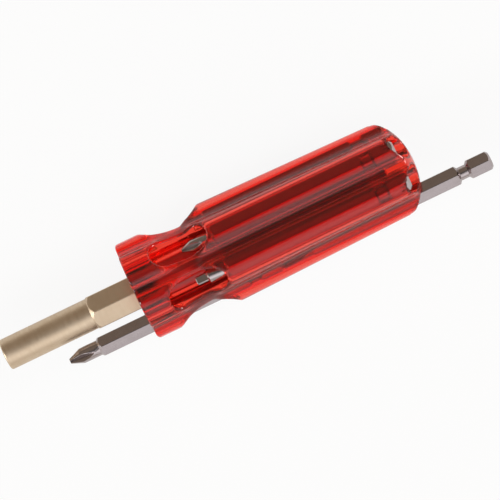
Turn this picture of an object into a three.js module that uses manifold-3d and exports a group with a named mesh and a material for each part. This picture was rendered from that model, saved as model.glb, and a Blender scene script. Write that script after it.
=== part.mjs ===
// Multi-bit screwdriver: a clear six-lobed handle with six through bores for spare bits, a hexagon steel
// bit holder on its axis, and seven double-length bits. A bit pushed into a bore from the front drives
// the bit that is stored there out of the butt.
// Millimetres, +Z up. X runs along the tool from the driving nose (-X) to the butt (+X).
import * as THREE from "three";
import { mergeVertices } from "three/addons/utils/BufferGeometryUtils.js";
import Module from "manifold-3d";

const wasm = await Module();
wasm.setup();

// Handle, measured along X from its front face and outwards from its axis
const HANDLE_LENGTH = 100.5;
const RIM_RADIUS = 16.9;
const RIM_LENGTH = 9.4;
const RIM_CORNER = 1.0;
const WAIST_RADIUS = 14.1;
const WAIST_CREASE_AT = 22.1;
const BODY_STARTS_AT = 29.2;
const BODY_FRONT_RADIUS = 17.5;
const BODY_REAR_RADIUS = 16.15;
const DOME_DEPTH = 8.6;
const FLUTE_DEPTH = 2.9;

// Bores for the bits, one under each lobe, and the window that the waist opens into each
const LOBES = 6;
const BORE_CIRCLE_RADIUS = 11.1;
const BORE_RADIUS = 4.2;
const WINDOW_WIDTH = 8.2;

// Bit holder: a hexagon bar with a turned nose, a hexagon socket and a magnet at the socket's floor
const HOLDER_FLATS = 11.11;
const HOLDER_NOSE_RADIUS = 5.3;
const HOLDER_REACH = 47.6;
const HOLDER_HEX_REACH = 14.8;
const HOLDER_SHOULDER = 1.5;
const HOLDER_END_WALL = 10.5;
const HOLDER_CHAMFER = 0.6;
const SOCKET_DEPTH = 25.0;
const SOCKET_LEAD_IN = 0.35;
const MAGNET_RADIUS = 2.6;
const MAGNET_LENGTH = 5.0;

// Bits: quarter-inch hexagon shank with a snap groove, and a turned blade end
const BIT_LENGTH = 76.2;
const BIT_FLATS = 6.35;
const BIT_END_CHAMFER = 1.1;
const GROOVE_NEAR_EDGE = 7.3;
const GROOVE_WIDTH = 5.1;
const GROOVE_FLOOR = 2.8;
const GROOVE_RADIUS = 2.25;
const BLADE_LENGTH = 10.5;
const BLADE_SHOULDER = 1.1;
const STORED_TIP_AT = 19.5;
const SWAP_TIP_AT = -29.4;

// Clearances
const HOLDER_FIT = 0.2;
const MAGNET_FIT = 0.25;
const SOCKET_FIT = 0.06;
const END_GAP = 0.3;
const CUT_PAST = 2.0;

// Smoothness of round surfaces
const LATHE_SIDES = 60;
const BORE_SIDES = 28;
const BIT_SIDES = 24;
const LOBE_STEPS = 9;
const FLUTE_STEPS = 5;
const ARC_STEPS = 7;

const LOBE_PITCH = (2 * Math.PI) / LOBES;
const DOME_STARTS_AT = HANDLE_LENGTH - DOME_DEPTH;
const HOLDER_DEPTH = HANDLE_LENGTH - HOLDER_END_WALL;
const TAPER = (BODY_FRONT_RADIUS - BODY_REAR_RADIUS) / (DOME_STARTS_AT - BODY_STARTS_AT);
const HEX_CORNER = 1 / Math.cos(Math.PI / 6);
const OUTGOING_TIP_AT = SWAP_TIP_AT + BIT_LENGTH + END_GAP;
const TOOL_FRONT = -HOLDER_REACH;
const TOOL_REAR = OUTGOING_TIP_AT + BIT_LENGTH;

// Turns a three.js geometry into a solid that can be joined and cut.
function solid(geometry) {
  const bare = geometry.clone();
  for (const name of Object.keys(bare.attributes)) {
    if (name !== "position") bare.deleteAttribute(name);
  }
  const merged = mergeVertices(bare, 1e-4);
  const vertProperties = new Float32Array(merged.attributes.position.array);
  const triVerts = new Uint32Array(merged.index.array);
  return new wasm.Manifold(new wasm.Mesh({ numProp: 3, vertProperties, triVerts }));
}

// Turns a finished solid into a named mesh with its own material.
function part(name, body, finish) {
  const made = body.getMesh();
  const geometry = new THREE.BufferGeometry();
  const stride = made.numProp;
  const positions = new Float32Array(made.numVert * 3);
  for (let i = 0; i < made.numVert; i++) {
    positions.set(made.vertProperties.subarray(i * stride, i * stride + 3), i * 3);
  }
  geometry.setAttribute("position", new THREE.BufferAttribute(positions, 3));
  geometry.setIndex(new THREE.BufferAttribute(made.triVerts, 1));
  geometry.computeVertexNormals();
  const mesh = new THREE.Mesh(geometry, new THREE.MeshStandardMaterial(finish));
  mesh.name = name;
  return mesh;
}

// A solid of revolution about the X axis, from [x, radius] points that start and end on the axis.
function turned(profile, sides) {
  const points = profile.map(([x, radius]) => new THREE.Vector2(radius, x));
  const geometry = new THREE.LatheGeometry(points, sides);
  geometry.rotateZ(-Math.PI / 2);
  return solid(geometry);
}

// A straight prism along X whose section is a closed outline of [y, z] points.
function bar(outline, from, to) {
  const shape = new THREE.Shape(outline.map(([y, z]) => new THREE.Vector2(y, z)));
  const geometry = new THREE.ExtrudeGeometry(shape, { depth: to - from, bevelEnabled: false });
  const along = new THREE.Matrix4().makeBasis(
    new THREE.Vector3(0, 1, 0),
    new THREE.Vector3(0, 0, 1),
    new THREE.Vector3(1, 0, 0),
  );
  geometry.applyMatrix4(along);
  geometry.translate(from, 0, 0);
  return solid(geometry);
}

// A regular outline given the distance across its flats. The first corner is straight up, or turned on
// from there by an angle.
function polygon(sides, flats, turn = 0) {
  const corner = flats / 2 / Math.cos(Math.PI / sides);
  const outline = [];
  for (let i = 0; i < sides; i++) {
    const angle = Math.PI / 2 + turn + (2 * Math.PI * i) / sides;
    outline.push([corner * Math.cos(angle), corner * Math.sin(angle)]);
  }
  return outline;
}

// A round bar along X, standing off the X axis.
function pin(radius, from, to, y, z) {
  const geometry = new THREE.CylinderGeometry(radius, radius, to - from, BORE_SIDES);
  geometry.rotateZ(-Math.PI / 2);
  geometry.translate((from + to) / 2, y, z);
  return solid(geometry);
}

// Points of a circular arc, from one angle to another.
function arc(x, y, radius, from, to, steps) {
  const points = [];
  for (let i = 0; i <= steps; i++) {
    const angle = from + ((to - from) * i) / steps;
    points.push([x + radius * Math.cos(angle), y + radius * Math.sin(angle)]);
  }
  return points;
}

// Crest radius of the tapered lobes at a distance from the front face.
function crestRadius(x) {
  return BODY_FRONT_RADIUS - TAPER * (x - BODY_STARTS_AT);
}

// Centre of a bore, in the section across the tool.
function boreCentre(lobe) {
  const angle = lobe * LOBE_PITCH;
  return [BORE_CIRCLE_RADIUS * Math.cos(angle), BORE_CIRCLE_RADIUS * Math.sin(angle)];
}

// Section of the lobed bar: each lobe is round about its bore, and a hollow flute runs tangent between
// two lobes down to the flute depth.
function lobedSection(x) {
  const half = LOBE_PITCH / 2;
  const lobe = crestRadius(x) - BORE_CIRCLE_RADIUS;
  const floor = crestRadius(x) - FLUTE_DEPTH;
  const apart = BORE_CIRCLE_RADIUS * Math.cos(half);
  const chord = floor ** 2 + BORE_CIRCLE_RADIUS ** 2 - 2 * floor * apart - lobe ** 2;
  const flute = chord / (2 * (lobe + apart - floor));
  const reach = floor + flute;
  const turn = Math.atan2(reach * Math.sin(half), reach * Math.cos(half) - BORE_CIRCLE_RADIUS);
  const outline = [];
  for (let i = 0; i < LOBES; i++) {
    const facing = i * LOBE_PITCH;
    const [y, z] = boreCentre(i);
    outline.push(...arc(y, z, lobe, facing - turn, facing + turn, LOBE_STEPS));
    const across = facing + half;
    const hollow = arc(
      reach * Math.cos(across),
      reach * Math.sin(across),
      flute,
      facing + turn + Math.PI,
      across + half - turn + Math.PI,
      FLUTE_STEPS,
    );
    outline.push(...hollow.slice(1, -1));
  }
  return outline;
}

// Skins a bar over sections at several places along X, with flat ends.
function lofted(sectionAt, places) {
  const rings = places.map(sectionAt);
  const count = rings[0].length;
  const vertices = [];
  rings.forEach((ring, i) => ring.forEach(([y, z]) => vertices.push(places[i], y, z)));
  const first = vertices.length / 3;
  vertices.push(places[0], 0, 0, places[places.length - 1], 0, 0);
  const faces = [];
  for (let j = 0; j < count; j++) {
    const next = (j + 1) % count;
    faces.push(first, next, j);
    for (let i = 0; i + 1 < rings.length; i++) {
      const [low, high] = [i * count, (i + 1) * count];
      faces.push(low + j, low + next, high + next, low + j, high + next, high + j);
    }
    const top = (rings.length - 1) * count;
    faces.push(first + 1, top + j, top + next);
  }
  const geometry = new THREE.BufferGeometry();
  geometry.setAttribute("position", new THREE.Float32BufferAttribute(vertices, 3));
  geometry.setIndex(faces);
  return solid(geometry);
}

// What the lobed bar is turned down to: the rim, the waist with its crease, and the domed butt.
function turnedEnvelope() {
  const drop = RIM_RADIUS - WAIST_RADIUS;
  const run = WAIST_CREASE_AT - RIM_LENGTH;
  const sweep = (run ** 2 + drop ** 2) / (2 * drop);
  const steepest = Math.asin(run / sweep);
  const clear = crestRadius(0) + CUT_PAST;
  const flank = (BODY_FRONT_RADIUS - WAIST_RADIUS) / (BODY_STARTS_AT - WAIST_CREASE_AT);
  const dome = [];
  for (let i = 0; i <= ARC_STEPS * 2; i++) {
    const angle = (Math.PI / 2) * (i / (ARC_STEPS * 2));
    const radius = i === ARC_STEPS * 2 ? 0 : BODY_REAR_RADIUS * Math.cos(angle);
    dome.push([DOME_STARTS_AT + DOME_DEPTH * Math.sin(angle), radius]);
  }
  const corner = arc(RIM_CORNER, RIM_RADIUS - RIM_CORNER, RIM_CORNER, Math.PI, Math.PI / 2, 4);
  const waist = arc(
    WAIST_CREASE_AT,
    WAIST_RADIUS + sweep,
    sweep,
    -Math.PI / 2 - steepest,
    -Math.PI / 2,
    ARC_STEPS,
  );
  return turned(
    [
      [0, 0],
      ...corner,
      ...waist,
      [WAIST_CREASE_AT + (clear - WAIST_RADIUS) / flank, clear],
      [DOME_STARTS_AT - CUT_PAST, clear],
      ...dome,
    ],
    LATHE_SIDES,
  );
}

// The window over one bore: a round-ended slot cut straight down into the bore along the whole waist.
function boreWindow(lobe) {
  const half = WINDOW_WIDTH / 2;
  const from = RIM_LENGTH + half;
  const to = BODY_STARTS_AT - half;
  const ends = [
    ...arc(from, 0, half, Math.PI / 2, (3 * Math.PI) / 2, ARC_STEPS * 2),
    ...arc(to, 0, half, -Math.PI / 2, Math.PI / 2, ARC_STEPS * 2),
  ];
  const shape = new THREE.Shape(ends.map(([x, y]) => new THREE.Vector2(x, y)));
  const depth = BODY_FRONT_RADIUS + CUT_PAST - BORE_CIRCLE_RADIUS;
  const geometry = new THREE.ExtrudeGeometry(shape, { depth, bevelEnabled: false });
  geometry.translate(0, 0, BORE_CIRCLE_RADIUS);
  geometry.rotateX(lobe * LOBE_PITCH - Math.PI / 2);
  return solid(geometry);
}

function handle() {
  const lobed = lofted(lobedSection, [-CUT_PAST, HANDLE_LENGTH + CUT_PAST]);
  let body = lobed.intersect(turnedEnvelope());
  for (let i = 0; i < LOBES; i++) {
    const [y, z] = boreCentre(i);
    body = body.subtract(pin(BORE_RADIUS, -CUT_PAST, HANDLE_LENGTH + CUT_PAST, y, z));
    body = body.subtract(boreWindow(i));
  }
  const seat = polygon(6, HOLDER_FLATS + 2 * HOLDER_FIT);
  body = body.subtract(bar(seat, -CUT_PAST, HOLDER_DEPTH + END_GAP));
  return part("handle", body, { color: 0xc4161c, roughness: 0.12, metalness: 0 });
}

// The hexagon bar, turned round and chamfered at the nose, with the bit socket and the magnet's pocket.
function bitHolder() {
  const corner = (HOLDER_FLATS / 2) * HEX_CORNER;
  const mouth = (BIT_FLATS / 2 + SOCKET_FIT) * HEX_CORNER + SOCKET_LEAD_IN;
  const floor = TOOL_FRONT + SOCKET_DEPTH;
  const outside = turned(
    [
      [TOOL_FRONT, 0],
      [TOOL_FRONT, HOLDER_NOSE_RADIUS - HOLDER_CHAMFER],
      [TOOL_FRONT + HOLDER_CHAMFER, HOLDER_NOSE_RADIUS],
      [-HOLDER_HEX_REACH - HOLDER_SHOULDER, HOLDER_NOSE_RADIUS],
      [-HOLDER_HEX_REACH, corner],
      [HOLDER_DEPTH - HOLDER_CHAMFER, corner],
      [HOLDER_DEPTH, corner - HOLDER_CHAMFER],
      [HOLDER_DEPTH, 0],
    ],
    LATHE_SIDES,
  );
  const leadIn = turned(
    [
      [TOOL_FRONT - CUT_PAST, 0],
      [TOOL_FRONT - CUT_PAST, mouth + CUT_PAST],
      [TOOL_FRONT + mouth, 0],
    ],
    BORE_SIDES,
  );
  const pocket = pin(MAGNET_RADIUS + MAGNET_FIT, floor - CUT_PAST, floor + MAGNET_LENGTH + END_GAP, 0, 0);
  const socket = bar(polygon(6, BIT_FLATS + 2 * SOCKET_FIT), TOOL_FRONT - CUT_PAST, floor);
  const body = bar(polygon(6, HOLDER_FLATS), TOOL_FRONT, HOLDER_DEPTH)
    .intersect(outside)
    .subtract(leadIn)
    .subtract(socket)
    .subtract(pocket);
  return part("bit_holder", body, { color: 0xc2a883, roughness: 0.35, metalness: 1 });
}

function magnet() {
  const floor = TOOL_FRONT + SOCKET_DEPTH;
  const body = pin(MAGNET_RADIUS, floor, floor + MAGNET_LENGTH, 0, 0);
  return part("socket_magnet", body, { color: 0x8d8f92, roughness: 0.4, metalness: 1 });
}

// A bit with its shank end turned, grooved and chamfered and its blade end turned down. Its tip is at
// X 0 and its shank runs towards +X.
function bitBlank(bladeRadius) {
  const corner = (BIT_FLATS / 2) * HEX_CORNER;
  const groove = BIT_LENGTH - GROOVE_NEAR_EDGE;
  const slope = (GROOVE_WIDTH - GROOVE_FLOOR) / 2;
  const envelope = turned(
    [
      [0, 0],
      [0, bladeRadius],
      [BLADE_LENGTH, bladeRadius],
      [BLADE_LENGTH + BLADE_SHOULDER, corner],
      [groove - GROOVE_WIDTH, corner],
      [groove - GROOVE_WIDTH + slope, GROOVE_RADIUS],
      [groove - slope, GROOVE_RADIUS],
      [groove, corner],
      [BIT_LENGTH - BIT_END_CHAMFER, corner],
      [BIT_LENGTH, corner - BIT_END_CHAMFER],
      [BIT_LENGTH, 0],
    ],
    BIT_SIDES,
  );
  const blade = turned(
    [
      [0, 0],
      [0, bladeRadius],
      [BLADE_LENGTH, bladeRadius],
      [BLADE_LENGTH, 0],
    ],
    BIT_SIDES,
  );
  return bar(polygon(6, BIT_FLATS), BLADE_LENGTH, BIT_LENGTH).intersect(envelope).add(blade);
}

// Keeps what lies inside a pointed or squared blade, and the whole shank behind it.
function shaped(blank, blade, bladeFrom) {
  const room = BIT_FLATS;
  const shank = turned(
    [
      [bladeFrom, 0],
      [bladeFrom, room],
      [BIT_LENGTH + CUT_PAST, room],
      [BIT_LENGTH + CUT_PAST, 0],
    ],
    BIT_SIDES,
  );
  return blank.intersect(shank).add(blade);
}

// A cross-recess blade: a blunt cone with four hollow flutes that run out up the blade. The first flute
// faces up, or is turned on from there by an angle.
function crossBit({ bladeRadius, coneLength, pointRadius, webRadius, fluteLength }, turn = 0) {
  const cone = turned(
    [
      [0, 0],
      [0, pointRadius],
      [coneLength, bladeRadius],
      [coneLength + BLADE_SHOULDER, bladeRadius],
      [coneLength + BLADE_SHOULDER, 0],
    ],
    BIT_SIDES,
  );
  let body = shaped(bitBlank(bladeRadius), cone, coneLength);
  const climb = Math.atan2(bladeRadius - webRadius, fluteLength);
  const side = bladeRadius * 2;
  for (let i = 0; i < 4; i++) {
    const geometry = new THREE.BoxGeometry(4 * fluteLength, side, side);
    geometry.rotateX(Math.PI / 4);
    geometry.translate(0, 0, side * Math.SQRT1_2);
    geometry.rotateY(-climb);
    geometry.translate(0, 0, webRadius);
    geometry.rotateX((Math.PI / 2) * i + turn);
    body = body.subtract(solid(geometry));
  }
  return body;
}

// A square blade: a slightly tapered square point that steps down from the round blade.
function squareBit({ bladeRadius, flats, pointLength, draft }) {
  const section = (x) => polygon(4, flats - 2 * draft * (pointLength - x), Math.PI / 4);
  const point = lofted(section, [0, pointLength, pointLength + BLADE_SHOULDER]);
  return shaped(bitBlank(bladeRadius), point, pointLength);
}

// A slot blade: two ground faces taper the round blade to a flat edge.
function slotBit({ bladeRadius, edgeThickness, groundLength }) {
  const half = edgeThickness / 2;
  const rise = (bladeRadius - half) / groundLength;
  const outer = half + rise * (BIT_LENGTH + CUT_PAST);
  const wedge = lofted(
    (x) => {
      const deep = half + rise * x;
      return [
        [-outer, -deep],
        [outer, -deep],
        [outer, deep],
        [-outer, deep],
      ];
    },
    [0, BIT_LENGTH + CUT_PAST],
  );
  return bitBlank(bladeRadius).intersect(wedge);
}

// Places a bit in the bore of a lobe with its tip at a distance from the handle's front face.
function inBore(mesh, lobe, tipAt) {
  const [y, z] = boreCentre(lobe);
  mesh.position.set(tipAt, y, z);
  return mesh;
}

const STEEL = { color: 0x8f8a86, roughness: 0.32, metalness: 1 };
const CROSS_2 = { bladeRadius: 2.6, coneLength: 4.2, pointRadius: 0.85, webRadius: 0.45, fluteLength: 8.7 };
const CROSS_1 = { bladeRadius: 2.2, coneLength: 3.4, pointRadius: 0.6, webRadius: 0.35, fluteLength: 7.2 };
const SQUARE_1 = { bladeRadius: 2.5, flats: 2.3, pointLength: 3.4, draft: 0.02 };
const SQUARE_2 = { bladeRadius: 2.5, flats: 2.8, pointLength: 3.8, draft: 0.02 };
const SQUARE_3 = { bladeRadius: 2.8, flats: 3.4, pointLength: 4.2, draft: 0.02 };
const SLOT_NARROW = { bladeRadius: 2.4, edgeThickness: 0.8, groundLength: 8.5 };
const SLOT_WIDE = { bladeRadius: 3.1, edgeThickness: 1.0, groundLength: 9.0 };

function bits() {
  return [
    inBore(part("cross_1_bit", crossBit(CROSS_1, Math.PI / 4), STEEL), 1, STORED_TIP_AT),
    inBore(part("square_2_bit", squareBit(SQUARE_2), STEEL), 2, STORED_TIP_AT),
    inBore(part("cross_2_bit", crossBit(CROSS_2), STEEL), 3, SWAP_TIP_AT),
    inBore(part("slot_wide_bit", slotBit(SLOT_WIDE), STEEL), 3, OUTGOING_TIP_AT),
    inBore(part("slot_narrow_bit", slotBit(SLOT_NARROW), STEEL), 4, STORED_TIP_AT),
    inBore(part("square_3_bit", squareBit(SQUARE_3), STEEL), 5, STORED_TIP_AT),
    inBore(part("square_1_bit", squareBit(SQUARE_1), STEEL), 0, STORED_TIP_AT),
  ];
}

const screwdriver = new THREE.Group();
screwdriver.name = "multi_bit_screwdriver";
screwdriver.add(handle(), bitHolder(), magnet(), ...bits());
// The tool lies on two lobes of its rim, with its origin on the bench under the middle of its length.
const lowest = new THREE.Box3().setFromObject(screwdriver).min.z;
screwdriver.position.set(-(TOOL_FRONT + TOOL_REAR) / 2, 0, -lowest);

export default screwdriver;
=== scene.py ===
"""Multi-bit screwdriver on a white bench.

It has a clear red handle, a pale gold bit holder with a magnet, and seven steel bits. Every piece is
a smooth mesh that stands for one CAD node and rides on that node's body. Sizes are in millimetres, as
on a maker's drawing, and are measured from the handle's front face and its axis. Meshes are handed
over in metres.
"""

import logging
import math
from dataclasses import dataclass
from enum import Enum
from typing import Callable, NamedTuple

import bpy
import numpy as np
from mathutils import Matrix, Vector

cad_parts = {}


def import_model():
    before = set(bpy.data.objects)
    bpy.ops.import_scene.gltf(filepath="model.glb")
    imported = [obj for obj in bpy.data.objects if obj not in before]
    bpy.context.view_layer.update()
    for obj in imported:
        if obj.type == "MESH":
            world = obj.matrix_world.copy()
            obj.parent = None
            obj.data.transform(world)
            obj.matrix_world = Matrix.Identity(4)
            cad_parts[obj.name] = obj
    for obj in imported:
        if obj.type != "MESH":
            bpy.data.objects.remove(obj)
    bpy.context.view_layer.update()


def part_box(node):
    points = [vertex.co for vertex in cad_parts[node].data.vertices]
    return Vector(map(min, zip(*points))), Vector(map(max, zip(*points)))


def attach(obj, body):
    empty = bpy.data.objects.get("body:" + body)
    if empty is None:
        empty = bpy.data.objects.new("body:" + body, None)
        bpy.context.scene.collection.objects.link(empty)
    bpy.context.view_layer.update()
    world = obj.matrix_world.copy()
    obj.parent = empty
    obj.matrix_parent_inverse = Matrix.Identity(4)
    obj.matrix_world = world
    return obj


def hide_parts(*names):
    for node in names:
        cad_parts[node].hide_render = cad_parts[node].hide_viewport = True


LOG = logging.getLogger("screwdriver")

MM = 0.001
LOBES = 6
PITCH = math.tau / LOBES
HEX_CORNER = 1.0 / math.cos(math.pi / 6)
SHARP_EDGE = math.radians(24)
DEEP_INSIDE = -9.0
WHITE = (1.0, 1.0, 1.0, 1.0)
# Names of the mesh attributes that tell a finish where a surface differs from the rest.
BORE_WALL = "bore_wall"
# Marks the holder bar's corners, whose colour is painted near black just behind the handle's front
# face.
DARK_CORNERS = "dark_corners"

Field = Callable[[np.ndarray, np.ndarray, np.ndarray], np.ndarray]


def linear(colour: str) -> tuple[float, float, float, float]:
    """Turns an sRGB hex colour into linear light.

    Args:
        colour: Six hex digits with a leading hash.

    Returns:
        Red, green, blue and an alpha of one.
    """
    shares = [int(colour[i : i + 2], 16) / 255 for i in (1, 3, 5)]
    light = [c / 12.92 if c <= 0.04045 else ((c + 0.055) / 1.055) ** 2.4 for c in shares]
    return light[0], light[1], light[2], 1.0


def add_node(
    tree: bpy.types.NodeTree,
    kind: str,
    inputs: dict[int | str, object] | None = None,
    **settings: object,
) -> bpy.types.Node:
    """Adds one node with its settings, input values and links.

    Args:
        tree: The node tree that takes the node.
        kind: Blender's name of the node.
        inputs: Values, or sockets to link from, by the input's name or number.
        **settings: The node's own properties.

    Returns:
        The new node.
    """
    node = tree.nodes.new(kind)
    for name, value in settings.items():
        setattr(node, name, value)
    for place, value in (inputs or {}).items():
        if isinstance(value, bpy.types.NodeSocket):
            tree.links.new(value, node.inputs[place])
        else:
            node.inputs[place].default_value = value
    return node


def seen_share(
    tree: bpy.types.NodeTree, direct: float, mirrored: float, through: float
) -> bpy.types.NodeSocket:
    """Share of plain white in what a ray meets, by the kind of ray.

    Args:
        tree: The node tree of a floor or a world.
        direct: Share for the camera's own rays.
        mirrored: Share for rays that a mirror turned.
        through: Share for rays that came through glass.

    Returns:
        The socket that carries the share.
    """
    path = add_node(tree, "ShaderNodeLightPath")
    share: bpy.types.NodeSocket | float = 0.0
    for ray, weight in (("Glossy", mirrored), ("Transmission", through), ("Camera", direct)):
        share = add_node(
            tree,
            "ShaderNodeMath",
            {0: path.outputs[f"Is {ray} Ray"], 1: weight, 2: share},
            operation="MULTIPLY_ADD",
        ).outputs[0]
    return share


@dataclass(frozen=True)
class Finish:
    """A surface finish that makes its material once and hands it out to every piece that has it."""

    name: str

    def material(self) -> bpy.types.Material:
        """Makes the material, or finds it if it is there.

        Returns:
            The material with this finish's name.
        """
        made = bpy.data.materials.get(self.name)
        if made is None:
            made = bpy.data.materials.new(self.name)
            made.use_nodes = True
            made.node_tree.nodes.clear()
            self.fill(made.node_tree)
        return made

    def fill(self, tree: bpy.types.NodeTree) -> None:
        """Adds the finish's nodes to an empty tree.

        Args:
            tree: The material's node tree.
        """
        raise NotImplementedError


@dataclass(frozen=True)
class ClearButyrate(Finish):
    """Cellulose acetate butyrate, moulded and vapour polished, with reamed bores.

    It shows as a deep clear red that stays red even where it is thin, with a wet gloss and faint draw
    lines along the tool. Hands have left a little haze and a thin warm film on it. The walls of the
    bores are duller, so that what lies behind them shows softly.
    """

    tint: str = "#f84b3d"
    ior: float = 1.475
    gloss: float = 0.02
    rubbed: float = 0.05
    reamed: float = 0.1
    red_loss: float = 0.006
    green_loss: float = 0.034
    blue_loss: float = 0.05
    haze_size: float = 9.0
    haze_range: tuple[float, float] = (0.35, 0.75)
    line_spacing: float = 2.4
    line_stretch: tuple[float, float, float] = (0.0125, 1.0, 1.0)
    line_depth: float = 0.06
    line_strength: float = 0.02
    film: float = 0.03
    film_roughness: float = 0.9
    film_tint: str = "#ffc0a4"

    def fill(self, tree: bpy.types.NodeTree) -> None:
        """Adds the clear red plastic's nodes.

        Args:
            tree: The material's node tree.
        """
        place = add_node(tree, "ShaderNodeTexCoord")
        haze = add_node(
            tree,
            "ShaderNodeTexNoise",
            {"Vector": place.outputs["Object"], "Scale": 1 / (self.haze_size * MM), "Detail": 3.0},
        )
        rough = add_node(
            tree,
            "ShaderNodeMapRange",
            {
                "Value": haze.outputs["Fac"],
                "From Min": self.haze_range[0],
                "From Max": self.haze_range[1],
                "To Min": self.gloss,
                "To Max": self.rubbed,
            },
        )
        wall = add_node(tree, "ShaderNodeAttribute", attribute_name=BORE_WALL)
        matt = add_node(
            tree,
            "ShaderNodeMix",
            {"Factor": wall.outputs["Fac"], 2: rough.outputs["Result"], 3: self.reamed},
        )
        # Draw lines run along the tool, so the pattern is stretched eighty times along X.
        drawn = add_node(
            tree,
            "ShaderNodeMapping",
            {"Vector": place.outputs["Object"], "Scale": self.line_stretch},
        )
        lines = add_node(
            tree,
            "ShaderNodeTexNoise",
            {"Vector": drawn.outputs["Vector"], "Scale": 1 / (self.line_spacing * MM), "Detail": 2.0},
        )
        bump = add_node(
            tree,
            "ShaderNodeBump",
            {
                "Height": lines.outputs["Fac"],
                "Strength": self.line_strength,
                "Distance": self.line_depth * MM,
            },
        )
        surface = add_node(
            tree,
            "ShaderNodeBsdfPrincipled",
            {
                "Base Color": linear(self.tint),
                "Roughness": matt.outputs[0],
                "IOR": self.ior,
                "Transmission Weight": 1.0,
                "Sheen Weight": self.film,
                "Sheen Roughness": self.film_roughness,
                "Sheen Tint": linear(self.film_tint),
                "Normal": bump.outputs["Normal"],
            },
        )
        # Absorption is written as what each millimetre takes of red, green and blue.
        kept_red = 1 - self.red_loss / self.blue_loss
        kept_green = 1 - self.green_loss / self.blue_loss
        inside = add_node(
            tree,
            "ShaderNodeVolumeAbsorption",
            {"Color": (kept_red, kept_green, 0.0, 1.0), "Density": self.blue_loss / MM},
        )
        add_node(
            tree,
            "ShaderNodeOutputMaterial",
            {"Surface": surface.outputs[0], "Volume": inside.outputs[0]},
        )


@dataclass(frozen=True)
class BrushedMetal(Finish):
    """A bare or plated steel surface with the fine lines that its machining left.

    It shows as a soft mirror that is drawn out across the lines, with a slightly mottled tone. Where
    the mesh marks dark corners, its colour is painted near black.
    """

    colour: str = "#c8c0ba"
    shade: str = "#b0a59c"
    corner_colour: str = "#241c1a"
    roughness: float = 0.28
    spread: float = 0.08
    line_spacing: float = 0.35
    line_stretch: tuple[float, float, float] = (0.03, 1.0, 1.0)
    line_depth: float = 0.004
    line_strength: float = 0.35
    line_range: tuple[float, float] = (0.3, 0.7)
    mottle_size: float = 4.0

    def fill(self, tree: bpy.types.NodeTree) -> None:
        """Adds the metal's nodes.

        Args:
            tree: The material's node tree.
        """
        place = add_node(tree, "ShaderNodeTexCoord")
        drawn = add_node(
            tree,
            "ShaderNodeMapping",
            {"Vector": place.outputs["Object"], "Scale": self.line_stretch},
        )
        # The real lines are finer than a pixel, so they are drawn about five times as wide.
        lines = add_node(
            tree,
            "ShaderNodeTexNoise",
            {"Vector": drawn.outputs["Vector"], "Scale": 1 / (self.line_spacing * MM), "Detail": 4.0},
        )
        mottle = add_node(
            tree,
            "ShaderNodeTexNoise",
            {
                "Vector": place.outputs["Object"],
                "Scale": 1 / (self.mottle_size * MM),
                "Detail": 5.0,
                "Roughness": 0.6,
            },
        )
        tone = add_node(
            tree,
            "ShaderNodeMix",
            {
                "Factor": mottle.outputs["Fac"],
                6: linear(self.colour),
                7: linear(self.shade),
            },
            data_type="RGBA",
        )
        # The colour goes near black where the mesh marks dark corners on the holder bar.
        dark_corners = add_node(tree, "ShaderNodeAttribute", attribute_name=DARK_CORNERS)
        with_corners = add_node(
            tree,
            "ShaderNodeMix",
            {"Factor": dark_corners.outputs["Fac"], 6: tone.outputs[2], 7: linear(self.corner_colour)},
            data_type="RGBA",
        )
        rough = add_node(
            tree,
            "ShaderNodeMapRange",
            {
                "Value": lines.outputs["Fac"],
                "From Min": self.line_range[0],
                "From Max": self.line_range[1],
                "To Min": self.roughness - self.spread,
                "To Max": self.roughness + self.spread,
            },
        )
        bump = add_node(
            tree,
            "ShaderNodeBump",
            {
                "Height": lines.outputs["Fac"],
                "Strength": self.line_strength,
                "Distance": self.line_depth * MM,
            },
        )
        surface = add_node(
            tree,
            "ShaderNodeBsdfPrincipled",
            {
                "Base Color": with_corners.outputs[2],
                "Metallic": 1.0,
                "Roughness": rough.outputs["Result"],
                "Normal": bump.outputs["Normal"],
            },
        )
        add_node(tree, "ShaderNodeOutputMaterial", {"Surface": surface.outputs[0]})


@dataclass(frozen=True)
class BenchPaper(Finish):
    """White background paper, matt and evenly lit, that keeps a soft shadow.

    The camera sees most of it as plain white. Mirrors and clear pieces show less of that white.
    """

    colour: str = "#f4f4f2"
    glow: float = 0.9
    glow_through_glass: float = 0.5
    glow_in_mirrors: float = 0.4
    fibre_size: float = 1.5
    fibre_depth: float = 0.02
    fibre_strength: float = 0.1

    def fill(self, tree: bpy.types.NodeTree) -> None:
        """Adds the paper's nodes.

        Args:
            tree: The material's node tree.
        """
        place = add_node(tree, "ShaderNodeTexCoord")
        fibre = add_node(
            tree,
            "ShaderNodeTexNoise",
            {"Vector": place.outputs["Object"], "Scale": 1 / (self.fibre_size * MM)},
        )
        bump = add_node(
            tree,
            "ShaderNodeBump",
            {
                "Height": fibre.outputs["Fac"],
                "Strength": self.fibre_strength,
                "Distance": self.fibre_depth * MM,
            },
        )
        paper = add_node(
            tree,
            "ShaderNodeBsdfDiffuse",
            {"Color": linear(self.colour), "Normal": bump.outputs["Normal"]},
        )
        white = add_node(tree, "ShaderNodeEmission", {"Color": WHITE, "Strength": 1.0})
        share = seen_share(tree, self.glow, self.glow_in_mirrors, self.glow_through_glass)
        mix = add_node(
            tree,
            "ShaderNodeMixShader",
            {0: share, 1: paper.outputs[0], 2: white.outputs[0]},
        )
        add_node(tree, "ShaderNodeOutputMaterial", {"Surface": mix.outputs[0]})


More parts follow.
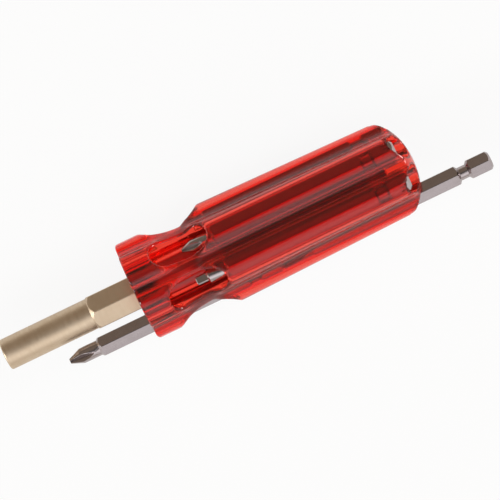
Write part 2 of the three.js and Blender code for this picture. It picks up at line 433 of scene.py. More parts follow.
CLEAR_RED = ClearButyrate("cellulose_acetate_butyrate_clear_red_polished")
PALE_GOLD = BrushedMetal(
    "steel_bar_pale_gold_plated_satin",
    colour="#dccab2",
    shade="#cdb79b",
    roughness=0.44,
    line_spacing=0.5,
    line_stretch=(1.0, 0.05, 0.05),
)
BIT_STEEL = BrushedMetal(
    "tool_steel_drawn_hexagon_nickel_plated",
    colour="#bdb4b5",
    shade="#a89e9d",
    roughness=0.17,
    spread=0.05,
)
MAGNET_NICKEL = BrushedMetal("neodymium_magnet_nickel_plated", colour="#c6c4bd", roughness=0.2)
WHITE_PAPER = BenchPaper("background_paper_white_matt")


class Ring(NamedTuple):
    """One closed ring of points round a piece's axis: distance along it, radius and angle of each."""

    along: np.ndarray
    radius: np.ndarray
    angle: np.ndarray


RING_POINTS = 96
EVEN = np.radians(-30 + 360 / RING_POINTS * np.arange(RING_POINTS))
CORNER_WIDTH = math.radians(1.5)


def hexagon_angles() -> np.ndarray:
    """Angles of a ring on a hexagon bar, with a narrow rounded corner at each edge.

    Returns:
        Angles in radians, from the corner at minus thirty degrees on.
    """
    half = math.pi / 6
    face = np.linspace(CORNER_WIDTH - half, half - CORNER_WIDTH, RING_POINTS // 6 - 1)
    sector = np.concatenate([[-half], face])
    return np.concatenate([sector + i * math.pi / 3 for i in range(6)])


HEX_ANGLES = hexagon_angles()


def hexagon_radius(flats: float) -> np.ndarray:
    """Radius of a hexagon bar at each of the hexagon angles.

    Args:
        flats: Distance across the flats.

    Returns:
        One radius for each angle, with the corners slightly turned off.
    """
    off = (HEX_ANGLES + math.pi / 6) % (math.pi / 3) - math.pi / 6
    sharp = flats / 2 / np.cos(off)
    return np.minimum(sharp, flats / 2 / math.cos(math.pi / 6 - CORNER_WIDTH))


def round_ring(along: float, radius: float, angle: np.ndarray = EVEN) -> Ring:
    """A plain circle.

    Args:
        along: Distance along the axis.
        radius: Radius of the circle.
        angle: Angles of its points.

    Returns:
        The ring.
    """
    return Ring(np.full(RING_POINTS, along), np.full(RING_POINTS, radius), angle)


def hexagon_ring(along: float, flats: float) -> Ring:
    """A ring on a hexagon bar.

    Args:
        along: Distance along the axis.
        flats: Distance across the hexagon's flats.

    Returns:
        The ring.
    """
    return Ring(np.full(RING_POINTS, along), hexagon_radius(flats), HEX_ANGLES)


def cone_on_hexagon(flats: float, start: float, end: float, inner: float, outer: float) -> Ring:
    """The edge where a cone runs out on the flats of a hexagon bar.

    Args:
        flats: Distance across the hexagon's flats.
        start: Distance along the axis where the cone has its inner radius.
        end: Distance along the axis where it has its outer radius.
        inner: The cone's inner radius.
        outer: The cone's outer radius.

    Returns:
        The scalloped ring.
    """
    radius = hexagon_radius(flats)
    return Ring(start + (end - start) * (radius - inner) / (outer - inner), radius, HEX_ANGLES)


def between(first: Ring, last: Ring, spacing: float) -> list[Ring]:
    """Rings that fill a straight stretch of bar.

    Args:
        first: Ring at one end of the stretch.
        last: Ring at its other end.
        spacing: Greatest distance from ring to ring.

    Returns:
        The rings in between, without the two ends.
    """
    steps = max(1, math.ceil(abs(last.along.mean() - first.along.mean()) / spacing))
    return [
        Ring(*(a + (b - a) * i / steps for a, b in zip(first, last, strict=True)))
        for i in range(1, steps)
    ]


def lofted(name: str, rings: list[Ring], y: float, z: float) -> bpy.types.Mesh:
    """Skins rings into a closed mesh about an axis parallel to X.

    Args:
        name: Name of the mesh.
        rings: Rings from one end to the other, in millimetres of the row frame.
        y: The axis's place across the tool.
        z: The axis's height.

    Returns:
        The mesh in metres, smooth over its rounds and sharp at its edges.
    """
    points = [
        np.stack([r.along, y + r.radius * np.cos(r.angle), z + r.radius * np.sin(r.angle)], axis=1)
        for r in rings
    ]
    ends = np.array([[rings[0].along.mean(), y, z], [rings[-1].along.mean(), y, z]])
    vertices = np.concatenate([*points, ends])
    count = RING_POINTS
    near = np.arange(count)
    far = (near + 1) % count
    faces: list[tuple[int, ...]] = []
    for i in range(len(rings) - 1):
        low, high = i * count, (i + 1) * count
        faces += zip(low + near, low + far, high + far, high + near, strict=True)
    last = (len(rings) - 1) * count
    first_end = len(rings) * count
    faces += zip(far, near, np.full(count, first_end), strict=True)
    faces += zip(last + near, last + far, np.full(count, first_end + 1), strict=True)
    mesh = bpy.data.meshes.new(name)
    mesh.from_pydata((vertices * MM).tolist(), [], [tuple(int(v) for v in f) for f in faces])
    if signed_volume(mesh) < 0:
        mesh.flip_normals()
    mesh.shade_smooth()
    mesh.set_sharp_from_angle(angle=SHARP_EDGE)
    return mesh


def signed_volume(mesh: bpy.types.Mesh) -> float:
    """Volume of a closed mesh, below nought where its faces look inwards.

    Args:
        mesh: The mesh to measure.

    Returns:
        The volume in cubic metres.
    """
    mesh.calc_loop_triangles()
    place = np.empty(len(mesh.vertices) * 3)
    mesh.vertices.foreach_get("co", place)
    corner = np.empty(len(mesh.loop_triangles) * 3, dtype=np.int64)
    mesh.loop_triangles.foreach_get("vertices", corner)
    a, b, c = place.reshape(-1, 3)[corner.reshape(-1, 3)].transpose(1, 0, 2)
    return float(np.einsum("ij,ij->i", a, np.cross(b, c)).sum() / 6)


def blend_max(a: np.ndarray, b: np.ndarray, width: float | np.ndarray) -> np.ndarray:
    """Keeps what lies inside both of two shapes and rounds the edge where they meet.

    Args:
        a: Distances to the first shape.
        b: Distances to the second shape.
        width: How far from the edge the rounding starts.

    Returns:
        Distances to the shape that both share.
    """
    near = np.maximum(width - np.abs(a - b), 0.0) / width
    return np.maximum(a, b) + near * near * width / 4


def skinned(
    name: str, field_at: Field, lines: tuple[np.ndarray, ...], origin: Vector
) -> bpy.types.Mesh:
    """Wraps a smooth mesh round the inside of a distance field.

    Each cell of the grid that the surface passes through gets one vertex, which is then moved along the
    field's slope onto the surface.

    Args:
        name: Name of the mesh.
        field_at: Distance to the surface at points in millimetres, below nought inside.
        lines: The grid's planes along X, Y and Z, in millimetres.
        origin: Where the field's origin lies in the row frame, in metres.

    Returns:
        The mesh in metres, with the field's own normals.
    """
    value = field_at(*np.meshgrid(*lines, indexing="ij"))
    shape = tuple(n - 1 for n in value.shape)
    total = np.zeros((*shape, 3))
    crossings = np.zeros(shape)
    quads = []
    corner = [slice(None, -1), slice(1, None)]
    crossed_edges = []
    for axis in range(3):
        others = [a for a in range(3) if a != axis]
        low = [slice(None)] * 3
        high = [slice(None)] * 3
        low[axis], high[axis] = corner
        start, stop = value[tuple(low)], value[tuple(high)]
        crossed = (start < 0) != (stop < 0)
        share = np.where(crossed, start / np.where(crossed, start - stop, 1.0), 0.0)
        step = np.diff(lines[axis])
        across = [1, 1, 1]
        across[axis] = -1
        place = lines[axis][:-1].reshape(across) + share * step.reshape(across)
        for u in corner:
            for v in corner:
                window = [slice(None)] * 3
                window[others[0]], window[others[1]] = u, v
                part = crossed[tuple(window)]
                crossings += part
                total[..., axis] += np.where(part, place[tuple(window)], 0.0)
                for other, side in zip(others, (u, v), strict=True):
                    wide = [1, 1, 1]
                    wide[other] = -1
                    total[..., other] += np.where(part, lines[other][side].reshape(wide), 0.0)
        crossed_edges.append((axis, others, crossed, start < 0))
    used = crossings > 0
    number = np.full(shape, -1)
    number[used] = np.arange(used.sum())
    vertices = total[used] / crossings[used][:, None]
    for axis, others, crossed, solid_first in crossed_edges:
        spot = np.argwhere(crossed)
        inner = np.all([(spot[:, o] > 0) & (spot[:, o] < shape[o]) for o in others], axis=0)
        spot = spot[inner]
        ring = []
        for du, dv in ((1, 1), (0, 1), (0, 0), (1, 0)):
            cell = spot.copy()
            cell[:, others[0]] -= du
            cell[:, others[1]] -= dv
            ring.append(number[tuple(cell.T)])
        quad = np.stack(ring, axis=1)
        outward = solid_first[tuple(spot.T)] != (axis == 1)
        quads.append(np.where(outward[:, None], quad, quad[:, ::-1]))
    vertices, normals = settled(field_at, vertices)
    mesh = bpy.data.meshes.new(name)
    placed = vertices * MM + np.array(origin)
    mesh.from_pydata(placed.tolist(), [], np.concatenate(quads).tolist())
    mesh.shade_smooth()
    mesh.normals_split_custom_set_from_vertices(normals.tolist())
    return mesh


# How points settle on a surface: where its slope is sampled, how flat and how far off it may be, and in
# how many moves.
SLOPE_REACH = 0.02
LEAST_SLOPE = 0.05
LONGEST_MOVE = 0.3
MOVES = 4


def settled(field_at: Field, points: np.ndarray) -> tuple[np.ndarray, np.ndarray]:
    """Moves points along a field's slope onto its surface.

    Args:
        field_at: Distance to the surface, below nought inside.
        points: Points near the surface, in millimetres.

    Returns:
        The points on the surface, and the surface's normal at each.
    """
    slope = np.zeros_like(points)
    for turn in range(MOVES + 1):
        for axis in range(3):
            ahead, behind = points.copy(), points.copy()
            ahead[:, axis] += SLOPE_REACH
            behind[:, axis] -= SLOPE_REACH
            slope[:, axis] = (field_at(*ahead.T) - field_at(*behind.T)) / (2 * SLOPE_REACH)
        steep = np.maximum((slope**2).sum(axis=1), LEAST_SLOPE)
        if turn < MOVES:
            move = np.clip(field_at(*points.T) / steep, -LONGEST_MOVE, LONGEST_MOVE)
            points = points - move[:, None] * slope
    return points, slope / np.linalg.norm(slope, axis=1)[:, None]


@dataclass
class Piece:
    """A piece of the tool that stands for one CAD node and rides on its body."""

    node: str
    body: str
    slot: str
    finish: Finish

    def mesh(self) -> bpy.types.Mesh:
        """Builds the piece's mesh in the row frame."""
        raise NotImplementedError

    def build(self) -> bpy.types.Object:
        """Builds the piece and ties it to the frame.

        Returns:
            The finished object.
        """
        piece = bpy.data.objects.new(f"{self.node}_dressed", self.mesh())
        bpy.context.scene.collection.objects.link(piece)
        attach(piece, self.body)
        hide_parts(self.node)
        self.dress(piece)
        return piece

    def dress(self, piece: bpy.types.Object) -> None:
        """Gives the piece its finish.

        Args:
            piece: The piece's object.
        """
        piece.data.materials.append(self.finish.material())


@dataclass
class Handle(Piece):
    """The clear moulding: six lobes, a waist with a window over each bore, and a domed butt."""

    node: str = "handle"
    body: str = "driver"
    slot: str = "handle_plastic"
    finish: Finish = CLEAR_RED
    length: float = 100.5
    rim_radius: float = 16.9
    rim_length: float = 9.4
    rim_corner: float = 1.0
    waist_radius: float = 14.1
    crease_at: float = 22.1
    body_at: float = 29.2
    body_front: float = 17.5
    body_rear: float = 16.15
    dome_depth: float = 8.6
    flute_depth: float = 2.9
    bore_circle: float = 11.1
    bore_radius: float = 4.2
    window_width: float = 8.2
    seat_flats: float = 11.51
    seat_depth: float = 90.3
    edge: float = 0.7
    window_edge: float = 1.3
    skin: float = 0.012
    wall_margin: float = 0.2
    window_margin: float = 3.0
    fine: float = 0.5
    coarse: float = 1.5
    cell_across: float = 0.55
    past_front: float = 0.73
    past_butt: float = 1.2
    past_lobes: float = 0.8
    past_neck: float = 2.0
    before_dome: float = 4.0

    def mesh(self) -> bpy.types.Mesh:
        """Builds the moulding.

        Returns:
            The mesh in metres.
        """
        low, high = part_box(self.node)
        origin = Vector((low.x, (low.y + high.y) / 2, (low.z + high.z) / 2))
        # The grid is fine at the waist and the butt, and coarse along the straight lobes between them.
        neck = self.body_at + self.past_neck
        dome = self.length - self.dome_depth - self.before_dome
        along = np.concatenate(
            [
                np.arange(-self.past_front, neck, self.fine),
                np.arange(neck, dome, self.coarse),
                np.arange(dome, self.length + self.past_butt, self.fine),
            ]
        )
        reach = self.body_front + self.past_lobes
        across = np.linspace(-reach, reach, 2 * round(reach / self.cell_across))
        mesh = skinned(self.node, self.distance, (along, across, across), origin)
        self.mark_bores(mesh, origin)
        return mesh

    def mark_bores(self, mesh: bpy.types.Mesh, origin: Vector) -> None:
        """Marks the walls of the bores, which are reamed and not polished.

        Args:
            mesh: The moulding's mesh.
            origin: The middle of its front face, in metres.
        """
        place = np.empty(len(mesh.vertices) * 3)
        mesh.vertices.foreach_get("co", place)
        _, y, z = (place.reshape(-1, 3) - np.array(origin)).T / MM
        out, aside = self.folded(y, z)
        off = np.abs(np.hypot(out - self.bore_circle, aside) - self.bore_radius)
        # The mark is full up to half a margin off the wall and gone at one and a half.
        wall = mesh.attributes.new(BORE_WALL, "FLOAT", "POINT")
        wall.data.foreach_set("value", np.clip(1.5 - off / self.wall_margin, 0.0, 1.0))

    @staticmethod
    def folded(y: np.ndarray, z: np.ndarray) -> tuple[np.ndarray, np.ndarray]:
        """Folds places in the tool's section onto one half of one lobe.

        Args:
            y: Places across the tool, from its axis.
            z: Places above the axis.

        Returns:
            How far out along the nearest lobe's middle each lies, and how far to the side of it.
        """
        radius = np.hypot(y, z)
        fold = np.abs((np.arctan2(z, y) + PITCH / 2) % PITCH - PITCH / 2)
        return radius * np.cos(fold), radius * np.sin(fold)

    def distance(self, x: np.ndarray, y: np.ndarray, z: np.ndarray) -> np.ndarray:
        """Distance to the moulding's surface.

        Args:
            x: Places along the tool, from the front face.
            y: Places across the tool, from its axis.
            z: Places above the axis.

        Returns:
            Distances, below nought inside the plastic.
        """
        radius = np.hypot(y, z)
        out, aside = self.folded(y, z)
        solid = blend_max(self.lobed(x, out, aside), self.rim(x, radius), self.edge)
        solid = blend_max(solid, self.waist(x, radius), self.edge)
        solid = blend_max(solid, self.dome(x, radius), self.edge)
        after_rim = x > self.rim_length - self.window_margin
        beside_window = after_rim & (x < self.body_at + self.window_margin)
        mouth = np.where(beside_window, self.window_edge, self.edge)
        solid = blend_max(solid, -self.bore(x, out, aside), mouth)
        seat = np.maximum(out - self.seat_flats / 2, x - self.seat_depth)
        return blend_max(solid, -seat, self.edge / 2) + self.skin

    def lobed(self, x: np.ndarray, out: np.ndarray, aside: np.ndarray) -> np.ndarray:
        """Distance to the tapered bar of round lobes and hollow flutes.

        Args:
            x: Places along the tool.
            out: Places outwards along the nearest lobe's middle.
            aside: Places to the side of it.

        Returns:
            Distances, below nought inside.
        """
        taper = (self.body_front - self.body_rear) / (self.length - self.dome_depth - self.body_at)
        crest = self.body_front - taper * (x - self.body_at)
        lobe = crest - self.bore_circle
        floor = crest - self.flute_depth
        apart = self.bore_circle * math.cos(PITCH / 2)
        chord = floor**2 + self.bore_circle**2 - 2 * floor * apart - lobe**2
        flute = chord / (2 * (lobe + apart - floor))
        centre_out = (floor + flute) * math.cos(PITCH / 2)
        centre_aside = (floor + flute) * math.sin(PITCH / 2)
        beside = (centre_out - self.bore_circle) * aside > centre_aside * (out - self.bore_circle)
        on_lobe = np.hypot(out - self.bore_circle, aside) - lobe
        on_flute = flute - np.hypot(out - centre_out, aside - centre_aside)
        return np.where(beside, on_flute, on_lobe)

    def rim(self, x: np.ndarray, radius: np.ndarray) -> np.ndarray:
        """Distance to the flat front face and the turned rim behind it.

        Args:
            x: Places along the tool.
            radius: Distances from its axis.

        Returns:
            Distances, below nought inside.
        """
        ahead = self.rim_corner - x
        above = radius - self.rim_radius + self.rim_corner
        above = np.where(x < self.crease_at, above, DEEP_INSIDE)
        corner = np.hypot(np.maximum(ahead, 0.0), np.maximum(above, 0.0))
        return corner + np.minimum(np.maximum(ahead, above), 0.0) - self.rim_corner

    def waist(self, x: np.ndarray, radius: np.ndarray) -> np.ndarray:
        """Distance to the waist: a hollow sweep to the crease, then a straight flank.

        Args:
            x: Places along the tool.
            radius: Distances from its axis.

        Returns:
            Distances, below nought inside.
        """
        drop = self.rim_radius - self.waist_radius
        run = self.crease_at - self.rim_length
        sweep = (run**2 + drop**2) / (2 * drop)
        flank = (self.body_front - self.waist_radius) / (self.body_at - self.crease_at)
        # The sweep stops just short of its own radius, where its slope would have no end.
        before = np.clip(self.crease_at - x, 0.0, 0.98 * sweep)
        hollow = np.sqrt(sweep**2 - before**2)
        wall = self.waist_radius + sweep - hollow + flank * np.maximum(x - self.crease_at, 0.0)
        slope = np.where(x < self.crease_at, before / hollow, flank)
        return (radius - wall) / np.sqrt(1 + slope**2)

    def dome(self, x: np.ndarray, radius: np.ndarray) -> np.ndarray:
        """Distance to the domed butt.

        Args:
            x: Places along the tool.
            radius: Distances from its axis.

        Returns:
            Distances, below nought inside.
        """
        past = np.maximum(x - self.length + self.dome_depth, 0.0)
        share = np.hypot(past / self.dome_depth, radius / self.body_rear)
        slope = np.hypot(past / self.dome_depth**2, radius / self.body_rear**2)
        rounded = share * (share - 1) / np.maximum(slope, 1e-6)
        return np.where(past > 0, rounded, DEEP_INSIDE)

    def bore(self, x: np.ndarray, out: np.ndarray, aside: np.ndarray) -> np.ndarray:
        """Distance to a bore and the round-ended window over it.

        Args:
            x: Places along the tool.
            out: Places outwards along the nearest lobe's middle.
            aside: Places to the side of it.

        Returns:
            Distances, below nought in the bore or the window.
        """
        hole = np.hypot(out - self.bore_circle, aside) - self.bore_radius
        half = self.window_width / 2
        middle = (self.rim_length + self.body_at) / 2
        straight = (self.body_at - self.rim_length) / 2 - half
        slot = np.hypot(np.maximum(np.abs(x - middle) - straight, 0.0), aside) - half
        window = np.maximum(slot, self.bore_circle - out)
        return -blend_max(-hole, -window, self.edge / 2)


class Blade(Enum):
    """The kinds of blade that the bits have."""

    CROSS = "cross"
    SQUARE = "square"
    SLOT = "slot"


@dataclass
class Bit(Piece):
    """A double-length bit: hexagon shank with a snap groove, and a turned blade end.

    The blade is turned on about its axis by so many degrees. A square blade's corners are rounded at so
    many times half its width from the axis.
    """

    slot: str = "bit_steel"
    finish: Finish = BIT_STEEL
    blade: Blade = Blade.CROSS
    blade_radius: float = 2.5
    point_length: float = 4.0
    point_size: float = 0.8
    web: float = 0.4
    ground_length: float = 8.0
    turn: float = 0.0
    square_corner: float = 1.27
    square_draft: float = 0.02
    square_chamfer: float = 0.25
    step_length: float = 0.05
    step_round: float = 0.5
    flats: float = 6.35
    end_chamfer: float = 1.1
    groove_near: float = 7.3
    groove_width: float = 5.1
    groove_floor: float = 2.8
    groove_radius: float = 2.25
    blade_length: float = 10.5
    shoulder: float = 1.1
    shank_spacing: float = 4.0
    square_spacing: float = 0.6
    cross_rings: int = 30
    slot_rings: int = 16

    def mesh(self) -> bpy.types.Mesh:
        """Builds the bit where its CAD node lies.

        Returns:
            The mesh in metres.
        """
        low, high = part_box(self.node)
        tip, length = low.x / MM, (high.x - low.x) / MM
        rings = [*self.point(), *self.shank(length)]
        placed = [Ring(tip + r.along, r.radius, r.angle) for r in rings]
        return lofted(self.node, placed, (low.y + high.y) / 2 / MM, (low.z + high.z) / 2 / MM)

    def shank(self, length: float) -> list[Ring]:
        """Rings of the round blade's root, the hexagon, the snap groove and the chamfered end.

        Args:
            length: Overall length of the bit.

        Returns:
            The rings, from the blade to the end.
        """
        corner = self.flats / 2 * HEX_CORNER
        groove = length - self.groove_near
        slope = (self.groove_width - self.groove_floor) / 2
        far = groove - self.groove_width
        top = cone_on_hexagon(
            self.flats, self.blade_length, self.blade_length + self.shoulder, self.blade_radius, corner
        )
        into = cone_on_hexagon(self.flats, far + slope, far, self.groove_radius, corner)
        out_of = cone_on_hexagon(self.flats, groove - slope, groove, self.groove_radius, corner)
        end = cone_on_hexagon(
            self.flats, length, length - self.end_chamfer, corner - self.end_chamfer, corner
        )
        return [
            round_ring(self.blade_length, self.blade_radius),
            top,
            *between(top, into, self.shank_spacing),
            into,
            round_ring(far + slope, self.groove_radius),
            round_ring(groove - slope, self.groove_radius),
            out_of,
            *between(out_of, end, self.shank_spacing),
            end,
            round_ring(length, corner - self.end_chamfer, HEX_ANGLES),
        ]

    def point(self) -> list[Ring]:
        """Rings of the blade, by its kind.

        Returns:
            The rings, from the tip to the round part.
        """
        makers = {Blade.CROSS: self.cross, Blade.SQUARE: self.square, Blade.SLOT: self.slotted}
        return makers[self.blade]()

    def cross(self) -> list[Ring]:
        """Rings of a blunt cone with four hollow flutes that run out up the blade.

        Returns:
            The rings, from the tip to the round part.
        """
        rings = []
        for x in np.linspace(0.0, self.ground_length, self.cross_rings):
            grown = min(x / self.point_length, 1.0)
            cone = self.point_size + (self.blade_radius - self.point_size) * grown
            web = self.web + (self.blade_radius - self.web) * (x / self.ground_length) ** 2
            edge = math.acos(min(web / (cone * math.sqrt(2)), math.sqrt(0.5))) - math.pi / 4
            angle, off = self.quarters(edge, math.radians(self.turn))
            flute = web / np.maximum(np.cos(off) - np.sin(off), 1e-3)
            rings.append(Ring(np.full(RING_POINTS, x), np.minimum(cone, flute), angle))
        return rings

    def slotted(self) -> list[Ring]:
        """Rings of a flat blade: two ground faces taper the round part to an edge.

        Returns:
            The rings, from the edge to the round part.
        """
        rings = []
        for x in np.linspace(0.0, self.ground_length, self.slot_rings):
            deep = self.point_size + (self.blade_radius - self.point_size) * x / self.ground_length
            turn = math.asin(min(deep / self.blade_radius, 1.0))
            angle = np.interp(EVEN, *self.slot_marks(turn))
            face = deep / np.maximum(np.abs(np.sin(angle)), 1e-6)
            rings.append(Ring(np.full(RING_POINTS, x), np.minimum(face, self.blade_radius), angle))
        return rings

    def square(self) -> list[Ring]:
        """Rings of a slightly tapered square point that steps down from the round part.

        Returns:
            The rings, from the tip to the round part.
        """
        off = np.abs((EVEN + math.pi / 4) % (math.pi / 2) - math.pi / 4)
        face = np.minimum(1 / np.cos(off), self.square_corner)
        even = np.ones(RING_POINTS)
        turned = EVEN + math.radians(self.turn)
        half = self.point_size / 2
        slim = half - self.square_draft * self.point_length
        tip = Ring(0.0 * even, (slim - self.square_chamfer) * face, turned)
        edge = Ring(self.square_chamfer * even, slim * face, turned)
        root = Ring(self.point_length * even, half * face, turned)
        step = max(self.blade_radius - self.step_round, float(root.radius.max()))
        return [
            tip,
            edge,
            *between(edge, root, self.square_spacing),
            root,
            round_ring(self.point_length + self.step_length, step, turned),
            round_ring(self.point_length + self.step_round, self.blade_radius, turned),
        ]

    @staticmethod
    def quarters(edge: float, turn: float) -> tuple[np.ndarray, np.ndarray]:
        """Angles of a ring with points gathered at the edges of four flutes.

        Args:
            edge: Angle from a flute's middle to its edge.
            turn: Angle that the flutes are turned on by.

        Returns:
            The angles, and how far each lies from the nearest flute's middle.
        """
        off = (EVEN - turn + math.pi / 4) % (math.pi / 2) - math.pi / 4
        middle = EVEN - off
        eighth = math.pi / 4
        moved = np.interp(np.abs(off), [0.0, eighth / 2, eighth], [0.0, edge, eighth])
        return middle + np.sign(off) * moved, moved

    @staticmethod
    def slot_marks(turn: float) -> tuple[np.ndarray, np.ndarray]:
        """How the even angles are moved so that points lie on a flat blade's four long edges.

        Args:
            turn: Angle from the blade's width to its edges.

        Returns:
            Even angles, and the angles that they move to.
        """
        even, moved = [], []
        for i in range(-1, 5):
            even += [i * math.pi - math.pi / 4, i * math.pi, i * math.pi + math.pi / 4]
            moved += [i * math.pi - turn, i * math.pi, i * math.pi + turn]
        return np.array(even), np.array(moved)


@dataclass
class BitHolder(Piece):
    """The hexagon bar with its turned nose and hexagon socket, set in the handle's mouth, corners
    painted dark.
    """

    node: str = "bit_holder"
    body: str = "driver"
    slot: str = "holder_plating"
    finish: Finish = PALE_GOLD
    flats: float = 11.11
    nose_radius: float = 5.3
    reach: float = 47.6
    hex_reach: float = 14.8
    shoulder: float = 1.5
    depth: float = 90.0
    chamfer: float = 0.6
    socket_flats: float = 6.47
    socket_depth: float = 25.0
    lead_in: float = 0.35
    pocket_radius: float = 2.85
    pocket_depth: float = 5.3
    dark_length: float = 9.0
    dark_start: float = 0.3
    dark_fade: float = 3.0
    dark_angle: float = 20.0
    dark_angle_fade: float = 4.0
    dark_spacing: float = 1.0
    bar_spacing: float = 6.0
    nose_spacing: float = 4.0
    nose_rings: int = 6
    socket_spacing: float = 5.0

    def mesh(self) -> bpy.types.Mesh:
        """Builds the bar where its CAD node lies.

        Returns:
            The mesh in metres.
        """
        low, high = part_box(self.node)
        front = low.x / MM + self.reach
        rings = [*self.outside(), *self.inside()]
        placed = [Ring(front + r.along, r.radius, r.angle) for r in rings]
        mesh = lofted(self.node, placed, (low.y + high.y) / 2 / MM, (low.z + high.z) / 2 / MM)
        marks = np.concatenate([self.corner_marks(r) for r in rings] + [np.zeros(2)])
        mesh.attributes.new(DARK_CORNERS, "FLOAT", "POINT").data.foreach_set("value", marks)
        return mesh

    def corner_marks(self, ring: Ring) -> np.ndarray:
        """How dark the bar's corners are painted, over a stretch just behind the handle's front face.

        Args:
            ring: A ring of the bar.

        Returns:
            A share for each point of the ring, one where a corner is painted fully near black.
        """
        off = np.degrees(np.abs(ring.angle % (math.pi / 3) - math.pi / 6))
        near = np.clip((self.dark_angle - off) / self.dark_angle_fade, 0.0, 1.0)
        full_to = self.dark_length - self.dark_fade
        places = [0.0, self.dark_start, full_to, self.dark_length]
        return near * np.interp(ring.along, places, [0.0, 1.0, 1.0, 0.0])

    def outside(self) -> list[Ring]:
        """Rings of the bar's outside.

        Returns:
            The rings, from the inner end to the rounded nose.
        """
        corner = self.flats / 2 * HEX_CORNER
        foot = -self.hex_reach - self.shoulder
        end = cone_on_hexagon(
            self.flats, self.depth, self.depth - self.chamfer, corner - self.chamfer, corner
        )
        neck = cone_on_hexagon(self.flats, foot, -self.hex_reach, self.nose_radius, corner)
        behind = hexagon_ring(self.dark_length, self.flats)
        front = hexagon_ring(0.0, self.flats)
        root = round_ring(foot, self.nose_radius)
        tip = round_ring(-self.reach + self.chamfer, self.nose_radius)
        rings = [
            round_ring(self.depth, corner - self.chamfer, HEX_ANGLES),
            end,
            *between(end, behind, self.bar_spacing),
            behind,
            *between(behind, front, self.dark_spacing),
            front,
            *between(front, neck, self.bar_spacing),
            neck,
            root,
            *between(root, tip, self.nose_spacing),
        ]
        for turn in np.linspace(0.0, math.pi / 2, self.nose_rings):
            along = -self.reach + self.chamfer * (1 - math.sin(turn))
            rings.append(round_ring(along, self.nose_radius - self.chamfer * (1 - math.cos(turn))))
        return rings

    def inside(self) -> list[Ring]:
        """Rings of the lead-in, the hexagon socket and the magnet's pocket.

        Returns:
            The rings, from the nose's face to the pocket's floor.
        """
        corner = self.socket_flats / 2 * HEX_CORNER
        mouth = corner + self.lead_in
        edge = cone_on_hexagon(self.socket_flats, -self.reach + mouth, -self.reach, 0.0, mouth)
        floor = hexagon_ring(-self.reach + self.socket_depth, self.socket_flats)
        back = -self.reach + self.socket_depth + self.pocket_depth
        return [
            round_ring(-self.reach, mouth),
            edge,
            *between(edge, floor, self.socket_spacing),
            floor,
            round_ring(-self.reach + self.socket_depth, self.pocket_radius),
            round_ring(back, self.pocket_radius),
        ]


@dataclass
class SocketMagnet(Piece):
    """The magnet at the socket's floor."""

    node: str = "socket_magnet"
    body: str = "driver"
    slot: str = "magnet"
    finish: Finish = MAGNET_NICKEL
    edge: float = 0.25

    def mesh(self) -> bpy.types.Mesh:
        """Builds the magnet where its CAD node lies.

        Returns:
            The mesh in metres.
        """
        low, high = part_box(self.node)
        radius = (high.z - low.z) / 2 / MM
        start, end = low.x / MM, high.x / MM
        rings = [round_ring(start, radius - self.edge)]
        rings += [round_ring(start + self.edge, radius), round_ring(end - self.edge, radius)]
        rings.append(round_ring(end, radius - self.edge))
        return lofted(self.node, rings, (low.y + high.y) / 2 / MM, (low.z + high.z) / 2 / MM)


def bits() -> list[Bit]:
    """The seven bits, each on its own body.

    Returns:
        The bits, those in the swap bore first.
    """
    return [
        Bit(
            "cross_2_bit",
            "incoming_bit",
            blade=Blade.CROSS,
            blade_radius=2.6,
            point_length=4.2,
            point_size=0.85,
            web=0.45,
            ground_length=8.7,
            turn=18.0,
        ),
        Bit(
            "slot_wide_bit",
            "outgoing_bit",
            blade=Blade.SLOT,
            blade_radius=3.1,
            point_size=0.5,
            ground_length=9.0,
        ),
        Bit(
            "cross_1_bit",
            "stored_cross_1",
            blade=Blade.CROSS,
            blade_radius=2.2,
            point_length=3.4,
            point_size=0.6,
            web=0.35,
            ground_length=7.2,
            turn=5.0,
        ),
        Bit(
            "square_1_bit",
            "stored_square_1",
            blade=Blade.SQUARE,
            point_length=3.4,
            point_size=2.3,
        ),
        Bit(
            "square_2_bit",
            "stored_square_2",
            blade=Blade.SQUARE,
            point_length=3.8,
            point_size=2.8,
            turn=-8.0,
        ),
        Bit(
            "square_3_bit",
            "stored_square_3",
            blade=Blade.SQUARE,
            blade_radius=2.8,
            point_length=4.2,
            point_size=3.4,
        ),
        Bit(
            "slot_narrow_bit",
            "stored_slot_narrow",
            blade=Blade.SLOT,
            blade_radius=2.4,
            point_size=0.4,
            ground_length=8.5,
        ),
    ]


class SkyBand(NamedTuple):
    """A part of the sky: which way it lies, where it begins and is full, and its colour."""

    way: str
    start: float
    full: float
    colour: str


class Lamp(NamedTuple):
    """A soft lamp that looks at the tool: its place and size in metres and its power in watts."""

    name: str
    spot: tuple[float, float, float]
    size: tuple[float, float]
    power: float


NEAR_SIDE = SkyBand("Y", 0.15, -0.25, "#f1eff0")
HORIZON = SkyBand("Z", 0.35, 0.1, "#c0b2a2")
ENDS = SkyBand("X", 0.88, 0.96, "#ffffff")
OVERHEAD = SkyBand("Z", 0.95, 0.985, "#3a3430")
SOFTBOX = Lamp("softbox", (-0.1, -0.55, 0.6), (0.6, 0.4), 0.4)
NOSE_LAMP = Lamp("nose_lamp", (-1.14, -0.1, 0.62), (0.4, 0.24), 5.6)
BUTT_LAMP = Lamp("butt_lamp", (1.14, -0.1, 0.62), (0.4, 0.24), 5.6)


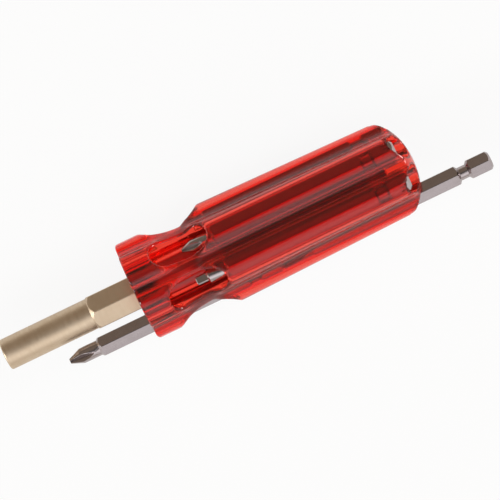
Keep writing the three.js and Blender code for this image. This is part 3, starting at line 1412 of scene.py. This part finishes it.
@dataclass
class Studio:
    """White bench, soft light from one side, a lamp at each end, and a camera straight above."""

    paper: Finish = WHITE_PAPER
    bench_size: float = 6000.0
    bench_gap: float = 0.2
    roll: float = -25.7
    view_width: float = 163.9
    aim_from_front: float = 39.5
    aim_across: float = -3.7
    camera_height: float = 700.0
    sensor_width: float = 36.0
    sight: float = 10.0
    far_side: str = "#79664f"
    bands: tuple[SkyBand, ...] = (NEAR_SIDE, HORIZON, ENDS, OVERHEAD)
    white_in_sky: float = 0.1
    lights: tuple[Lamp, ...] = (SOFTBOX, NOSE_LAMP, BUTT_LAMP)
    bounces: int = 40
    mirror_bounces: int = 12

    def build(self) -> None:
        """Builds the bench, the light and the camera."""
        self.bench()
        self.sky()
        self.lamps()
        self.camera()
        bpy.context.scene.view_settings.view_transform = "Standard"
        bpy.context.scene.cycles.max_bounces = self.bounces
        bpy.context.scene.cycles.transmission_bounces = self.bounces
        bpy.context.scene.cycles.glossy_bounces = self.mirror_bounces

    def bench(self) -> None:
        """Lays the paper under the tool."""
        half = self.bench_size * MM / 2
        mesh = bpy.data.meshes.new("bench_paper")
        corners = [(-half, -half, 0), (half, -half, 0), (half, half, 0), (-half, half, 0)]
        mesh.from_pydata(corners, [], [(0, 1, 2, 3)])
        mesh.materials.append(self.paper.material())
        paper = bpy.data.objects.new("bench_paper", mesh)
        paper.location.z = -self.bench_gap * MM
        bpy.context.scene.collection.objects.link(paper)

    def sky(self) -> None:
        """Makes the room's light: a dim far side, and the bands laid over it one by one."""
        world = bpy.data.worlds.new("studio")
        bpy.context.scene.world = world
        world.use_nodes = True
        tree = world.node_tree
        tree.nodes.clear()
        place = add_node(tree, "ShaderNodeTexCoord")
        way = add_node(tree, "ShaderNodeSeparateXYZ", {0: place.outputs["Generated"]})
        along = add_node(tree, "ShaderNodeMath", {0: way.outputs["X"]}, operation="ABSOLUTE")
        # Both ends of the tool are alike, so along it only the distance counts.
        ways = {"X": along.outputs[0], "Y": way.outputs["Y"], "Z": way.outputs["Z"]}
        tone: object = linear(self.far_side)
        for band in self.bands:
            share = add_node(
                tree,
                "ShaderNodeMapRange",
                {"Value": ways[band.way], "From Min": band.start, "From Max": band.full},
                interpolation_type="SMOOTHSTEP",
            )
            tone = add_node(
                tree,
                "ShaderNodeMix",
                {"Factor": share.outputs["Result"], 6: tone, 7: linear(band.colour)},
                data_type="RGBA",
            ).outputs[2]
        white = seen_share(tree, 1.0, self.white_in_sky, self.white_in_sky)
        seen = add_node(
            tree, "ShaderNodeMix", {"Factor": white, 6: tone, 7: WHITE}, data_type="RGBA"
        )
        light = add_node(tree, "ShaderNodeBackground", {"Color": seen.outputs[2], "Strength": 1.0})
        add_node(tree, "ShaderNodeOutputWorld", {"Surface": light.outputs[0]})

    def lamps(self) -> None:
        """Hangs a large soft lamp on the near side and a smaller bright one at each end."""
        for light in self.lights:
            lamp = bpy.data.lights.new(light.name, "AREA")
            lamp.shape = "RECTANGLE"
            lamp.size, lamp.size_y = light.size
            lamp.energy = light.power
            box = bpy.data.objects.new(light.name, lamp)
            spot = Vector(light.spot)
            aim = spot.to_track_quat("Z", "Y").to_matrix().to_4x4()
            box.matrix_world = Matrix.Translation(spot) @ aim
            bpy.context.scene.collection.objects.link(box)

    def camera(self) -> None:
        """Sets the camera over the tool, turned so that the tool rises to the right."""
        low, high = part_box("handle")
        lens = bpy.data.cameras.new("camera")
        lens.sensor_width = self.sensor_width
        lens.lens = self.sensor_width * self.camera_height / self.view_width
        lens.clip_end = self.sight
        eye = bpy.data.objects.new("camera", lens)
        eye.location = (
            low.x + self.aim_from_front * MM,
            self.aim_across * MM,
            (low.z + high.z) / 2 + self.camera_height * MM,
        )
        eye.rotation_euler = (0.0, 0.0, math.radians(self.roll))
        bpy.context.scene.collection.objects.link(eye)
        bpy.context.scene.camera = eye


def main() -> None:
    """Builds the tool, piece by piece, and the studio round it."""
    logging.basicConfig(level=logging.INFO, format="%(name)s: %(message)s")
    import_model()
    for piece in [Handle(), BitHolder(), SocketMagnet(), *bits()]:
        made = piece.build()
        LOG.info("%s: %d faces on %s", made.name, len(made.data.polygons), piece.body)
    Studio().build()
    LOG.info("studio: bench, soft light and camera")


if __name__ == "__main__":
    main()
